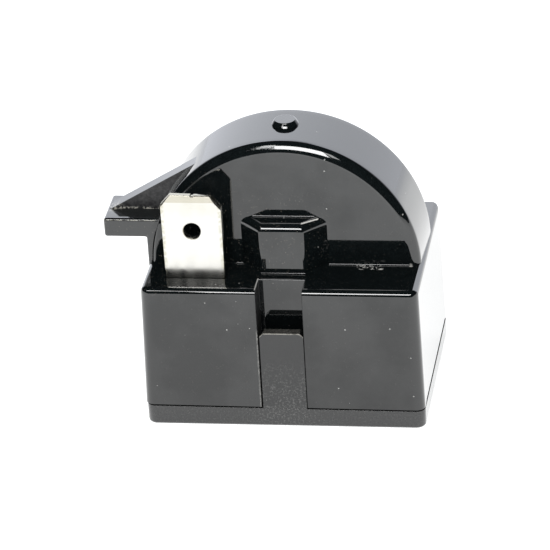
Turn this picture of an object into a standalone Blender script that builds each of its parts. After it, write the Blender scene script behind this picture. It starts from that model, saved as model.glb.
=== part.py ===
"""Start relay for a refrigerator compressor, in metres: +Z up, front towards -Y.

The origin is the middle of the base cover's underside. A glossy moulded housing with a domed
pocket holds a PTC pill between two contact springs. The supply tab stands on the front ledge,
the compressor's two pins enter sockets through the base cover, and the cover snaps on with a
tongue at the front and one at the back.
"""

import math

import bmesh
import bpy

# Housing box: its width at the ledge, the ledges before and behind the dome, the lean of its
# walls and its rounded edges.
LEDGE_W = 0.02863
FRONT_LEDGE = 0.00615
REAR_LEDGE = 0.00639
DRAFT_DEGREES = 1.1
WALL = 0.0015
CORNER_R = 0.0008
SIDE_EDGE_R = 0.00068
FRONT_EDGE_R = 0.00065

# Dome over the pill: an upright half disc almost as wide as the ledge, its centre a little lower.
DOME_INSET = 0.00015
DOME_DROP = 0.00035
DOME_DEPTH = 0.00867
DOME_TAPER = 0.0002
DOME_RIM_R = 0.00107

# Boss on top of the dome.
NUB_R = 0.00135
NUB_TOP_R = 0.0011
NUB_H = 0.00075
NUB_EDGE_R = 0.00012

# Half-hexagon lug on the dome's face, above the front channel.
LUG_FRONT_W = 0.00455
LUG_FOOT_W = 0.00894
LUG_OUT = 0.00226
LUG_H = 0.00545
LUG_TOP_R = 0.0008
LUG_EDGE_R = 0.00018

# Side arm: a plate at the dome's left, with a sloping web on top of it.
ARM_REACH = 0.00462
ARM_SETBACK = 0.00015
ARM_DEPTH = 0.0055
ARM_T = 0.0021
ARM_RISE = 0.00276
ARM_EDGE_R = 0.0003
WEB_SETBACK = 0.00245
WEB_T = 0.00175
WEB_TIP = 0.00038
WEB_DEGREES = 29.6

# Channels in the front and back walls, the snap tongues that stand in them and their catches.
CHANNEL_W = 0.00478
CHANNEL_D = 0.00262
TONGUE_SIDE_GAP = 0.0001
TONGUE_T = 0.0012
TONGUE_TOP_Z = 0.01073
TONGUE_CHAMFER = 0.0004
CATCH_OUT = 0.0008
CATCH_GRIP = 0.0003
CATCH_Z = 0.004
CATCH_H = 0.002
BARB_H = 0.0016

# Base cover, with the lip that centres it in the housing and the cradle under the pill.
BASE_T = 0.00193
BASE_CORNER_R = 0.0009
BASE_EDGE_R = 0.0005
LIP_T = 0.0007
LIP_H = 0.0011
CRADLE_X = 0.0042
CRADLE_W = 0.0018

# Clearances: the parting seam, any two pieces that rest on each other, and metal beside a wall.
SEAM = 0.0002
GAP = 0.0002
ROOM = 0.0003

# Supply tab, a 6.3 x 0.8 mm blade, and the brass strip that it is one piece with.
TAB_W = 0.0063
TAB_ROOT_INSET = 0.00008
TAB_TIP_INSET = 0.001
TAB_T = 0.0008
TAB_INSET = 0.005365
TAB_SETBACK = 0.00264
TAB_H = 0.00935
TAB_SHOULDER = 0.00115
TAB_TIP_BEVEL = 0.0006
TAB_SIDE_BEVEL = 0.0003
TAB_TIP_T = 0.00036
TAB_HOLE_R = 0.0009
TAB_HOLE_Z = 0.0054
STRIP_W = 0.0048
STRIP_BEND_R = 0.0006

# Pin holes in the base cover and the sockets above them.
PIN_HOLE_R = 0.0018
PIN_FUNNEL_R = 0.0025
PIN_FUNNEL_H = 0.0007
SOCKET_BORE_R = 0.0015
SOCKET_T = 0.00045
SOCKET_H = 0.008
SOCKET_SLIT_DEGREES = 32
SOCKET_ROOM = 0.0005
PAD_MARGIN = 0.0004

# PTC pill in its pocket, the contact springs on its two faces and their rivets.
PILL_ROOM = 0.00216
PILL_LIFT = 0.00287
PILL_T = 0.0032
PILL_CHAMFER = 0.00025
RIB_T = 0.0012
RIB_DEGREES = 50
SPRING_W = 0.0042
SPRING_T = 0.0003
SPRING_MARGIN = 0.002
SPRING_BEND_R = 0.0006
RIVET_R = 0.0005
RIVET_HEAD_R = 0.0009
RIVET_CROWN_R = 0.0006
RIVET_HEAD_H = 0.0005

# Steps of the round shapes, and how far a cutter runs past what it cuts.
ARC_STEPS = 84
PAST = 0.001

# Sizes and places worked out from the values above.
LEAN = math.tan(math.radians(DRAFT_DEGREES))
LEDGE_HALF_W = LEDGE_W / 2
LEDGE_HALF_D = (FRONT_LEDGE + DOME_DEPTH + REAR_LEDGE) / 2
DOME_R = LEDGE_HALF_W - DOME_INSET
POCKET_R = DOME_R - WALL
PILL_R = POCKET_R - PILL_ROOM
BOX_FOOT_Z = BASE_T + SEAM
DOME_Z = BASE_T + PILL_LIFT + PILL_R
LEDGE_Z = DOME_Z + DOME_DROP
CEILING_Z = LEDGE_Z - WALL
DOME_FRONT = -LEDGE_HALF_D + FRONT_LEDGE
DOME_BACK = LEDGE_HALF_D - REAR_LEDGE
DOME_Y = (DOME_FRONT + DOME_BACK) / 2
POCKET_HALF_D = DOME_DEPTH / 2 - WALL
CHANNEL_BACK = LEDGE_HALF_D - CHANNEL_D
CHANNEL_WALL_W = CHANNEL_W + 2 * WALL
TONGUE_W = CHANNEL_W - 2 * TONGUE_SIDE_GAP
BARB_Z = CATCH_Z + CATCH_H + GAP
STRIP_Z = BASE_T + GAP
STRIP_TOP = STRIP_Z + TAB_T
FOOT_Z = STRIP_TOP + GAP
TAB_X = -LEDGE_HALF_W + TAB_INSET
TAB_ROOT_W = TAB_W - 2 * TAB_ROOT_INSET
TAB_FRONT = -LEDGE_HALF_D + TAB_SETBACK
TAB_TOP_Z = LEDGE_Z + TAB_H
SPRING_REACH = PILL_R - SPRING_MARGIN
SPRING_Y = POCKET_HALF_D - GAP - SPRING_T / 2
SOCKET_R = SOCKET_BORE_R + SOCKET_T
PAD = SOCKET_R + PAD_MARGIN
PIN_X = CHANNEL_WALL_W / 2 + ROOM + PAD
PIN_Y = DOME_Y + SPRING_Y + SPRING_T / 2 + SOCKET_ROOM + SOCKET_R
FOOT_START = SPRING_Y + SPRING_BEND_R


def half_w(z):
    """Half the housing's width at height z."""
    return LEDGE_HALF_W + (LEDGE_Z - z) * LEAN


def half_d(z):
    """Half the housing's depth at height z."""
    return LEDGE_HALF_D + (LEDGE_Z - z) * LEAN


def foot_end(side):
    """How far from the dome's middle the spring's foot ends, short of the channel's inner wall."""
    return CHANNEL_BACK - WALL - ROOM - side * DOME_Y


def rivet_y(side):
    return DOME_Y + side * (FOOT_START + foot_end(side)) / 2


def clear_scene():
    for obj in list(bpy.data.objects):
        bpy.data.objects.remove(obj, do_unlink=True)


def material(name, color, roughness, metallic=0.0):
    made = bpy.data.materials.new(name)
    made.use_nodes = True
    shader = made.node_tree.nodes["Principled BSDF"]
    shader.inputs["Base Color"].default_value = (*color, 1.0)
    shader.inputs["Roughness"].default_value = roughness
    shader.inputs["Metallic"].default_value = metallic
    made.diffuse_color = (*color, 1.0)
    return made


def add_object(name, bm):
    """A new object from a bmesh, with its faces turned outwards."""
    bmesh.ops.recalc_face_normals(bm, faces=bm.faces)
    mesh = bpy.data.meshes.new(name)
    bm.to_mesh(mesh)
    bm.free()
    obj = bpy.data.objects.new(name, mesh)
    bpy.context.scene.collection.objects.link(obj)
    return obj


def finish(obj, look):
    """Gives a finished piece its material and smooth round faces."""
    obj.data.materials.append(look)
    obj.data.shade_smooth()
    obj.data.set_sharp_from_angle(angle=math.radians(30))
    return obj


def loft(name, rings):
    """A closed solid through rings of equally many points, capped at both ends."""
    bm = bmesh.new()
    loops = [[bm.verts.new(point) for point in ring] for ring in rings]
    count = len(loops[0])
    for low, high in zip(loops, loops[1:]):
        for i in range(count):
            j = (i + 1) % count
            bm.faces.new((low[i], low[j], high[j], high[i]))
    bm.faces.new(loops[0])
    bm.faces.new(loops[-1])
    return add_object(name, bm)


def prism_x(name, outline, x0, x1):
    """An outline of (y, z) points pushed from x0 to x1."""
    return loft(name, [[(x, y, z) for y, z in outline] for x in (x0, x1)])


def prism_y(name, outline, y0, y1):
    """An outline of (x, z) points pushed from y0 to y1."""
    return loft(name, [[(x, y, z) for x, z in outline] for y in (y0, y1)])


def prism_z(name, outline, z0, z1):
    """An outline of (x, y) points pushed from z0 to z1."""
    return loft(name, [[(x, y, z) for x, y in outline] for z in (z0, z1)])


def rectangle(x0, x1, y0, y1):
    return [(x0, y0), (x1, y0), (x1, y1), (x0, y1)]


def arc(center, radius, start, end, steps):
    """Points on an arc between two angles in degrees, both ends included."""
    points = []
    for i in range(steps + 1):
        angle = math.radians(start + (end - start) * i / steps)
        points.append((center[0] + radius * math.cos(angle), center[1] + radius * math.sin(angle)))
    return points


def circle(center, radius, steps=40):
    return arc(center, radius, 0, 360 - 360 / steps, steps - 1)


def turned(name, x, y, profile, steps=40):
    """A solid turned about an upright axis, from (radius, z) points."""
    return loft(name, [[(*point, z) for point in circle((x, y), radius, steps)] for radius, z in profile])


def weighted_bevel(obj, width, segments, weight_of):
    """Rounds edges by weight: weight_of takes an edge's two ends and its faces' normals."""
    bm = bmesh.new()
    bm.from_mesh(obj.data)
    layer = bm.edges.layers.float.new("bevel_weight_edge")
    bm.normal_update()
    for edge in bm.edges:
        ends = [vert.co for vert in edge.verts]
        edge[layer] = weight_of(ends, [face.normal for face in edge.link_faces])
    bm.to_mesh(obj.data)
    bm.free()
    bevel = obj.modifiers.new("rounding", "BEVEL")
    bevel.limit_method = "WEIGHT"
    bevel.width = width
    bevel.segments = segments


def edge_round(obj, width, segments=2, degrees=30):
    """Rounds every edge sharper than an angle."""
    bevel = obj.modifiers.new("edges", "BEVEL")
    bevel.limit_method = "ANGLE"
    bevel.angle_limit = math.radians(degrees)
    bevel.width = width
    bevel.segments = segments


def boolean(obj, other, operation):
    """Joins or cuts with another shape, which is then only a helper."""
    step = obj.modifiers.new(other.name, "BOOLEAN")
    step.operation = operation
    step.solver = "EXACT"
    step.object = other
    other.hide_render = True
    other.display_type = "WIRE"


def join(obj, *others):
    for other in others:
        boolean(obj, other, "UNION")


def carve(obj, *others):
    for other in others:
        boolean(obj, other, "DIFFERENCE")


def box_body():
    """The housing's box, leaning in towards the ledge, with rounded corners and upper edges."""
    rings = []
    for z in (BOX_FOOT_Z, LEDGE_Z):
        w, d = half_w(z), half_d(z)
        rings.append([(x, y, z) for x, y in rectangle(-w, w, -d, d)])
    obj = loft("housing", rings)
    widest = max(CORNER_R, SIDE_EDGE_R, FRONT_EDGE_R)
    middle = (BOX_FOOT_Z + LEDGE_Z) / 2

    def weight_of(ends, normals):
        low, high = sorted(point.z for point in ends)
        if low < middle < high:
            return CORNER_R / widest
        if high < middle:
            return 0.0
        faces_front = any(normal.y < -0.5 for normal in normals)
        return (FRONT_EDGE_R if faces_front else SIDE_EDGE_R) / widest

    weighted_bevel(obj, widest, 4, weight_of)
    return obj


def dome_outline(radius, foot_z):
    """A half disc on straight legs that reach down to foot_z."""
    return [(radius, foot_z), *arc((0, DOME_Z), radius, 0, 180, ARC_STEPS), (-radius, foot_z)]


def dome():
    rings = []
    for y, radius in ((DOME_FRONT, DOME_R - DOME_TAPER), (DOME_BACK, DOME_R)):
        rings.append([(x, y, z) for x, z in dome_outline(radius, CEILING_Z)])
    obj = loft("dome", rings)

    def weight_of(ends, normals):
        on_rim = any(abs(normal.y) > 0.9 for normal in normals)
        at_foot = max(point.z for point in ends) < (CEILING_Z + DOME_Z) / 2
        return 1.0 if on_rim and not at_foot else 0.0

    weighted_bevel(obj, DOME_RIM_R, 5, weight_of)
    return obj


def nub():
    top = DOME_Z + DOME_R
    obj = turned("nub", 0, DOME_Y, [(NUB_R, top - WALL / 2), (NUB_R, top), (NUB_TOP_R, top + NUB_H)])
    edge_round(obj, NUB_EDGE_R, 2, 50)
    return obj


def lug_half(y, inset):
    """Half the lug's width at depth y, with its sloping sides moved in by a wall."""
    run = (LUG_FOOT_W - LUG_FRONT_W) / 2
    slope = run / LUG_OUT
    return LUG_FRONT_W / 2 + (y - DOME_FRONT + LUG_OUT) * slope - inset * math.hypot(run, LUG_OUT) / LUG_OUT


def lug():
    front = DOME_FRONT - LUG_OUT
    top = LEDGE_Z + LUG_H
    back = DOME_FRONT + WALL / 2
    outline = [(x * lug_half(y, 0), y) for x, y in ((-1, front), (1, front), (1, back), (-1, back))]
    obj = prism_z("lug", outline, CEILING_Z, top)

    def weight_of(ends, normals):
        on_top = min(point.z for point in ends) > (CEILING_Z + top) / 2
        in_front = (ends[0].y + ends[1].y) / 2 < DOME_FRONT - LUG_OUT / 4
        return 1.0 if on_top and in_front else 0.0

    weighted_bevel(obj, LUG_TOP_R, 4, weight_of)
    edge_round(obj, LUG_EDGE_R)
    return obj


def arm():
    """The plate at the dome's left and the short leg that carries it down to the ledge."""
    front = DOME_FRONT + ARM_SETBACK
    tip = -LEDGE_HALF_W - ARM_REACH
    leg = -LEDGE_HALF_W
    under = LEDGE_Z + ARM_RISE
    inside = -POCKET_R + WALL / 2
    outline = [
        (tip, under),
        (leg, under),
        (leg, CEILING_Z),
        (inside, CEILING_Z),
        (inside, under + ARM_T),
        (tip, under + ARM_T),
    ]
    obj = prism_y("arm", outline, front, front + ARM_DEPTH)
    edge_round(obj, ARM_EDGE_R)
    return obj


def web():
    """The sloping web from the plate's outer end up to the dome, where it runs on inside the wall."""
    front = DOME_FRONT + ARM_SETBACK + WEB_SETBACK
    tip = -LEDGE_HALF_W - ARM_REACH + WEB_TIP
    plate_top = LEDGE_Z + ARM_RISE + ARM_T
    sunk = plate_top - ARM_T / 2
    run = math.cos(math.radians(WEB_DEGREES))
    rise = math.sin(math.radians(WEB_DEGREES))
    length = -tip * run - (plate_top - DOME_Z) * rise
    end = tip + length * run, plate_top + length * rise
    outline = [(tip, plate_top), (tip, sunk), (end[0], sunk), end]
    return prism_y("web", outline, front, front + WEB_T)


def channel(side):
    """The slot that the front or back tongue stands in."""
    outline = rectangle(-CHANNEL_W / 2, CHANNEL_W / 2, side * CHANNEL_BACK, side * (half_d(0) + PAST))
    return prism_z(f"channel_{side}", outline, BOX_FOOT_Z - PAST, LEDGE_Z + PAST)


def catch(side):
    """The rib across the channel's back wall that the tongue's barb hooks over."""
    wall = CHANNEL_BACK - WALL / 2
    out = CHANNEL_BACK + CATCH_OUT
    top = CATCH_Z + CATCH_H
    outline = [(wall, CATCH_Z), (CHANNEL_BACK, CATCH_Z), (out, CATCH_Z + CATCH_OUT), (out, top), (wall, top)]
    half = CHANNEL_W / 2 + WALL / 2
    return prism_x(f"catch_{side}", [(side * y, z) for y, z in outline], -half, half)


def tab_slot():
    half = TAB_ROOT_W / 2 + GAP / 2
    outline = rectangle(TAB_X - half, TAB_X + half, TAB_FRONT - GAP / 2, TAB_FRONT + TAB_T + GAP / 2)
    return prism_z("tab_slot", outline, CEILING_Z - PAST, LEDGE_Z + PAST)


def lug_hollow():
    front = DOME_FRONT - LUG_OUT + WALL
    back = DOME_FRONT + WALL + PAST
    outline = []
    for y in (front, back):
        outline.append((lug_half(y, WALL), y))
    outline += [(-x, y) for x, y in reversed(outline)]
    return prism_z("lug_hollow", outline, CEILING_Z - PAST, LEDGE_Z + LUG_H - WALL)


def pill_rib(degrees):
    """A rib in the dome's pocket that centres the pill, with a clearance to its rim."""
    direction = math.cos(math.radians(degrees)), math.sin(math.radians(degrees))
    inner, outer = PILL_R + GAP, DOME_R - WALL / 2
    outline = []
    for radius, side in ((inner, -1), (outer, -1), (outer, 1), (inner, 1)):
        x = radius * direction[0] - side * RIB_T / 2 * direction[1]
        z = DOME_Z + radius * direction[1] + side * RIB_T / 2 * direction[0]
        outline.append((x, z))
    reach = POCKET_HALF_D + WALL / 2
    return prism_y(f"pill_rib_{degrees}", outline, DOME_Y - reach, DOME_Y + reach)


def cavity():
    """The hollow of the housing, open at the foot."""
    rings = []
    for z in (BOX_FOOT_Z - PAST, CEILING_Z):
        w, d = half_w(z) - WALL, half_d(z) - WALL
        rings.append([(x, y, z) for x, y in rectangle(-w, w, -d, d)])
    obj = loft("cavity", rings)
    pocket = prism_y(
        "pocket", dome_outline(POCKET_R, CEILING_Z - PAST), DOME_Y - POCKET_HALF_D, DOME_Y + POCKET_HALF_D
    )
    join(obj, pocket, lug_hollow())
    for side in (-1, 1):
        half = CHANNEL_WALL_W / 2
        outline = rectangle(-half, half, side * (CHANNEL_BACK - WALL), side * half_d(0))
        carve(obj, prism_z(f"channel_wall_{side}", outline, BOX_FOOT_Z - 2 * PAST, LEDGE_Z))
    carve(obj, pill_rib(90 - RIB_DEGREES), pill_rib(90), pill_rib(90 + RIB_DEGREES))
    return obj


def housing(look):
    obj = box_body()
    join(obj, dome(), lug(), nub(), arm(), web())
    carve(obj, cavity(), channel(-1), channel(1), tab_slot())
    join(obj, catch(-1), catch(1))
    return finish(obj, look)


def base_plate():
    w, d = half_w(BOX_FOOT_Z), half_d(BOX_FOOT_Z)
    obj = prism_z("base_cover", rectangle(-w, w, -d, d), 0, BASE_T)
    widest = max(BASE_CORNER_R, BASE_EDGE_R)

    def weight_of(ends, normals):
        low, high = sorted(point.z for point in ends)
        if high - low > BASE_T / 2:
            return BASE_CORNER_R / widest
        return BASE_EDGE_R / widest if high < BASE_T / 2 else 0.0

    weighted_bevel(obj, widest, 4, weight_of)
    return obj


def tongue(side):
    """The upright spring tongue, flush with the housing's leaning wall."""
    half = TONGUE_W / 2
    top = TONGUE_TOP_Z
    cut = TONGUE_CHAMFER
    foot = BASE_T / 2
    outline = [
        (-half, foot),
        (half, foot),
        (half, top - cut),
        (half - cut, top),
        (-half + cut, top),
        (-half, top - cut),
    ]
    rings = []
    for depth in (0, TONGUE_T):
        rings.append([(x, side * (half_d(max(z, BOX_FOOT_Z)) - depth), z) for x, z in outline])
    return loft(f"tongue_{side}", rings)


def barb(side):
    """The hook on the tongue's inner face, over the housing's catch."""
    inner = half_d(BARB_Z) - TONGUE_T
    tip = CHANNEL_BACK + CATCH_OUT - CATCH_GRIP
    root = inner + TONGUE_T / 2
    top = BARB_Z + BARB_H
    outline = [(root, BARB_Z), (tip, BARB_Z), (tip, BARB_Z + BARB_H / 3), (inner, top), (root, top)]
    half = TONGUE_W / 2 - TONGUE_CHAMFER
    return prism_x(f"barb_{side}", [(side * y, z) for y, z in outline], -half, half)


def lip():
    """The raised rim that centres the cover, with room for the channels' walls and the tab."""
    w = half_w(BOX_FOOT_Z) - WALL - GAP
    d = half_d(BOX_FOOT_Z) - WALL - GAP
    top = BASE_T + LIP_H
    low = BASE_T / 2
    obj = prism_z("lip", rectangle(-w, w, -d, d), low, top)
    half = CHANNEL_WALL_W / 2 + GAP
    tab_half = TAB_ROOT_W / 2 + GAP
    inside = rectangle(-w + LIP_T, w - LIP_T, -d + LIP_T, d - LIP_T)
    at_channels = rectangle(-half, half, -d - PAST, d + PAST)
    at_tab = rectangle(TAB_X - tab_half, TAB_X + tab_half, -d - PAST, 0)
    for name, outline in (("lip_inside", inside), ("lip_channels", at_channels), ("lip_tab", at_tab)):
        carve(obj, prism_z(name, outline, low - PAST, top + PAST))
    return obj


def cradle(side):
    """A post under the pill, its top hollowed to the pill's rim."""
    radius = PILL_R + GAP
    steps = 4
    outline = []
    for i in range(steps + 1):
        x = CRADLE_X - CRADLE_W / 2 + CRADLE_W * i / steps
        outline.append((side * x, DOME_Z - math.sqrt(radius * radius - x * x)))
    outline += [(outline[-1][0], BASE_T / 2), (outline[0][0], BASE_T / 2)]
    reach = PILL_T / 2
    return prism_y(f"cradle_{side}", outline, DOME_Y - reach, DOME_Y + reach)


def pin_hole(side):
    profile = [
        (PIN_FUNNEL_R + PAST, -PAST),
        (PIN_FUNNEL_R, 0),
        (PIN_HOLE_R, PIN_FUNNEL_H),
        (PIN_HOLE_R, BASE_T + PAST),
    ]
    return turned(f"pin_hole_{side}", side * PIN_X, PIN_Y, profile)


def base_cover(look):
    obj = base_plate()
    join(obj, lip())
    for side in (-1, 1):
        join(obj, tongue(side), barb(side), cradle(side))
    for side in (-1, 1):
        carve(obj, pin_hole(side))
    return finish(obj, look)


def bent_blade():
    """The tab and its tail: cross-sections from the strip, round the bend and up to the tip."""
    half_gap = (TAB_T - TAB_TIP_T) / 2
    layers = (0.0, half_gap, TAB_T - half_gap, TAB_T)
    outer_r = STRIP_BEND_R + TAB_T
    center = TAB_FRONT + outer_r, STRIP_Z + outer_r
    tail = STRIP_W / 2
    root = TAB_ROOT_W / 2
    shoulder_z = TAB_TOP_Z - TAB_SHOULDER
    drop = TAB_SIDE_BEVEL * math.hypot(TAB_SHOULDER, TAB_TIP_INSET) / TAB_TIP_INSET
    step_z = CEILING_Z - PAST / 2

    def section(half, place):
        left = [(TAB_X - half, *place(depth)) for depth in layers]
        right = [(TAB_X + half, *place(depth)) for depth in reversed(layers)]
        return left + right

    def at_floor(depth):
        return center[0] + PAST, STRIP_Z + depth

    def upright(z):
        return lambda depth: (TAB_FRONT + depth, z)

    def in_bend(degrees):
        angle = math.radians(degrees)

        def place(depth):
            radius = outer_r - depth
            return center[0] - radius * math.sin(angle), center[1] - radius * math.cos(angle)

        return place

    rings = [section(tail, at_floor)]
    rings += [section(tail, in_bend(90 * i / 6)) for i in range(7)]
    rings.append(section(tail, upright(step_z - PAST / 2)))
    rings.append(section(root, upright(step_z)))
    rings.append(section(root, upright(LEDGE_Z)))
    rings.append(section(TAB_W / 2, upright(shoulder_z - drop)))
    bm = bmesh.new()
    loops = [[bm.verts.new(point) for point in ring] for ring in rings]

    face_z = TAB_TOP_Z - TAB_TIP_BEVEL
    face_half = TAB_W / 2 - (face_z - shoulder_z + drop) * TAB_TIP_INSET / TAB_SHOULDER
    front, front_rim, back_rim, back = (TAB_FRONT + depth for depth in layers)
    last = []
    for side in (-1, 1):
        ys = (front, front_rim, back_rim, back) if side < 0 else (back, back_rim, front_rim, front)
        for y in ys:
            on_face = y in (front, back)
            half = face_half if on_face else TAB_W / 2
            z = face_z if on_face else shoulder_z
            last.append(bm.verts.new((TAB_X + side * half, y, z)))
    loops.append(last)
    count = len(last)
    for low, high in zip(loops, loops[1:]):
        for i in range(count):
            j = (i + 1) % count
            bm.faces.new((low[i], low[j], high[j], high[i]))
    bm.faces.new(loops[0])

    tip = TAB_W / 2 - TAB_TIP_INSET
    tips = [
        bm.verts.new((TAB_X - tip, front_rim, TAB_TOP_Z)),
        bm.verts.new((TAB_X - tip, back_rim, TAB_TOP_Z)),
        bm.verts.new((TAB_X + tip, back_rim, TAB_TOP_Z)),
        bm.verts.new((TAB_X + tip, front_rim, TAB_TOP_Z)),
    ]
    for face in (
        (last[0], last[1], tips[0]),
        (last[1], last[2], tips[1], tips[0]),
        (last[2], last[3], tips[1]),
        (last[3], last[4], tips[2], tips[1]),
        (last[4], last[5], tips[2]),
        (last[5], last[6], tips[3], tips[2]),
        (last[6], last[7], tips[3]),
        (last[7], last[0], tips[0], tips[3]),
        tips,
    ):
        bm.faces.new(face)
    return add_object("supply_terminal", bm)


def rivet_hole(name, side, low, high):
    radius = RIVET_R + GAP / 2
    return turned(name, 0, rivet_y(side), [(radius, low), (radius, high)], 24)


def supply_terminal(look):
    """The tab, the strip under it, the pad of the run pin and the branch to the front spring."""
    obj = bent_blade()
    start = TAB_FRONT + TAB_T + STRIP_BEND_R
    left, right = TAB_X - STRIP_W / 2, TAB_X + STRIP_W / 2
    near = DOME_Y - foot_end(-1)
    far = DOME_Y - FOOT_START
    pad_left, pad_right = -PIN_X - PAD, -PIN_X + PAD
    outline = [
        (left, start),
        (right, start),
        (right, near),
        (SPRING_W / 2, near),
        (SPRING_W / 2, far),
        (right, far),
        (right, PIN_Y - PAD),
        (pad_right, PIN_Y - PAD),
        (pad_right, PIN_Y + PAD),
        (pad_left, PIN_Y + PAD),
        (left, PIN_Y),
    ]
    join(obj, prism_z("supply_strip", outline, STRIP_Z, STRIP_TOP))
    hole = circle((TAB_X, LEDGE_Z + TAB_HOLE_Z), TAB_HOLE_R, 32)
    tab_hole = prism_y("tab_hole", hole, TAB_FRONT - PAST, TAB_FRONT + TAB_T + PAST)
    pad_hole = turned("run_pad_hole", -PIN_X, PIN_Y, [(PIN_HOLE_R, 0), (PIN_HOLE_R, STRIP_TOP + PAST)])
    carve(obj, tab_hole, pad_hole, rivet_hole("supply_rivet_hole", -1, 0, STRIP_TOP + PAST))
    return finish(obj, look)


def start_terminal(look):
    """The pad of the start pin and its branch to the rear spring."""
    near = DOME_Y + FOOT_START
    far = DOME_Y + foot_end(1)
    pad_left, pad_right = PIN_X - PAD, PIN_X + PAD
    outline = [
        (-SPRING_W / 2, near),
        (pad_left, near),
        (pad_left, PIN_Y - PAD),
        (pad_right, PIN_Y - PAD),
        (pad_right, PIN_Y + PAD),
        (pad_left, PIN_Y + PAD),
        (pad_left, far),
        (-SPRING_W / 2, far),
    ]
    obj = prism_z("start_terminal", outline, STRIP_Z, STRIP_TOP)
    pad_hole = turned("start_pad_hole", PIN_X, PIN_Y, [(PIN_HOLE_R, 0), (PIN_HOLE_R, STRIP_TOP + PAST)])
    carve(obj, pad_hole, rivet_hole("start_rivet_hole", 1, 0, STRIP_TOP + PAST))
    return finish(obj, look)


def pin_socket(name, side, look):
    """A rolled sleeve, slit along its outer side so that it can grip the pin."""
    center = side * PIN_X, PIN_Y
    start = (0 if side > 0 else 180) + SOCKET_SLIT_DEGREES / 2
    end = start + 360 - SOCKET_SLIT_DEGREES
    outline = arc(center, SOCKET_BORE_R + SOCKET_T, start, end, 30)
    outline += arc(center, SOCKET_BORE_R, end, start, 30)
    return finish(prism_z(name, outline, FOOT_Z, FOOT_Z + SOCKET_H), look)


def contact_spring(name, side, look):
    """A pressed cross whose waves bear on the pill, with a tail that ends in a riveted foot."""
    half = SPRING_W / 2
    rise = POCKET_HALF_D - PILL_T / 2 - 2 * GAP - SPRING_T
    foot_z = FOOT_Z + SPRING_T / 2
    straight = DOME_Z - foot_z - SPRING_BEND_R
    bend = SPRING_BEND_R * math.pi / 2
    arm_steps, middle_steps, bend_steps = 8, 3, 5

    def spread(start, end, steps):
        return [start + (end - start) * i / steps for i in range(1, steps + 1)]

    across = [-SPRING_REACH, *spread(-SPRING_REACH, -half, arm_steps), *spread(-half, half, middle_steps)]
    along = list(across)
    across += spread(half, SPRING_REACH, arm_steps)
    along += spread(half, SPRING_REACH, arm_steps)
    along.append(straight)
    along += spread(straight, straight + bend, bend_steps)
    along.append(straight + bend + foot_end(side) - FOOT_START)

    def place(x, s):
        if s <= straight:
            ratio = min(math.hypot(x, s) / SPRING_REACH, 1.0)
            wave = rise * math.sin(math.pi * ratio) ** 2
            return x, DOME_Y + side * (SPRING_Y - wave), DOME_Z - s
        if s <= straight + bend:
            angle = (s - straight) / SPRING_BEND_R
            out = SPRING_BEND_R * (1 - math.cos(angle))
            return x, DOME_Y + side * (SPRING_Y + out), foot_z + SPRING_BEND_R * (1 - math.sin(angle))
        return x, DOME_Y + side * (SPRING_Y + SPRING_BEND_R + s - straight - bend), foot_z

    bm = bmesh.new()
    verts = {}

    def vert(i, j):
        if (i, j) not in verts:
            verts[i, j] = bm.verts.new(place(across[i], along[j]))
        return verts[i, j]

    for i in range(len(across) - 1):
        for j in range(len(along) - 1):
            in_column = abs(across[i] + across[i + 1]) / 2 < half
            in_row = abs(along[j] + along[j + 1]) / 2 < half
            if in_column or in_row:
                bm.faces.new((vert(i, j), vert(i + 1, j), vert(i + 1, j + 1), vert(i, j + 1)))
    obj = add_object(name, bm)
    thicken = obj.modifiers.new("thickness", "SOLIDIFY")
    thicken.thickness = SPRING_T
    thicken.offset = 0
    carve(obj, rivet_hole(f"{name}_hole", side, STRIP_TOP, FOOT_Z + SPRING_T + PAST))
    return finish(obj, look)


def rivet(name, side, look):
    head = FOOT_Z + SPRING_T + GAP
    profile = [
        (RIVET_R, STRIP_Z),
        (RIVET_R, head),
        (RIVET_HEAD_R, head),
        (RIVET_HEAD_R, head + RIVET_HEAD_H / 2),
        (RIVET_CROWN_R, head + RIVET_HEAD_H),
    ]
    return finish(turned(name, 0, rivet_y(side), profile, 24), look)


def ptc_pill(look):
    rings = []
    for y, radius in (
        (-PILL_T / 2, PILL_R - PILL_CHAMFER),
        (-PILL_T / 2 + PILL_CHAMFER, PILL_R),
        (PILL_T / 2 - PILL_CHAMFER, PILL_R),
        (PILL_T / 2, PILL_R - PILL_CHAMFER),
    ):
        rings.append([(x, DOME_Y + y, z) for x, z in circle((0, DOME_Z), radius, 72)])
    return finish(loft("ptc_pill", rings), look)


def build():
    clear_scene()
    gloss = material("gloss_black_moulding", (0.010, 0.010, 0.011), 0.12)
    matte = material("matte_black_moulding", (0.022, 0.022, 0.022), 0.62)
    tin = material("tinned_brass", (0.80, 0.80, 0.78), 0.32, 1.0)
    brass = material("brass", (0.72, 0.55, 0.27), 0.35, 1.0)
    steel = material("spring_steel", (0.62, 0.62, 0.63), 0.28, 1.0)
    ceramic = material("silvered_ceramic", (0.58, 0.57, 0.55), 0.5)
    housing(gloss)
    base_cover(matte)
    supply_terminal(tin)
    start_terminal(brass)
    pin_socket("run_pin_socket", -1, brass)
    pin_socket("start_pin_socket", 1, brass)
    contact_spring("front_contact_spring", -1, steel)
    contact_spring("rear_contact_spring", 1, steel)
    rivet("front_spring_rivet", -1, brass)
    rivet("rear_spring_rivet", 1, brass)
    ptc_pill(ceramic)


build()
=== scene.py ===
"""Looks of the compressor start relay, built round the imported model. Metres, +Z up, front towards -Y."""

import math

import bmesh
import bpy
from mathutils import Matrix, Vector

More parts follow.
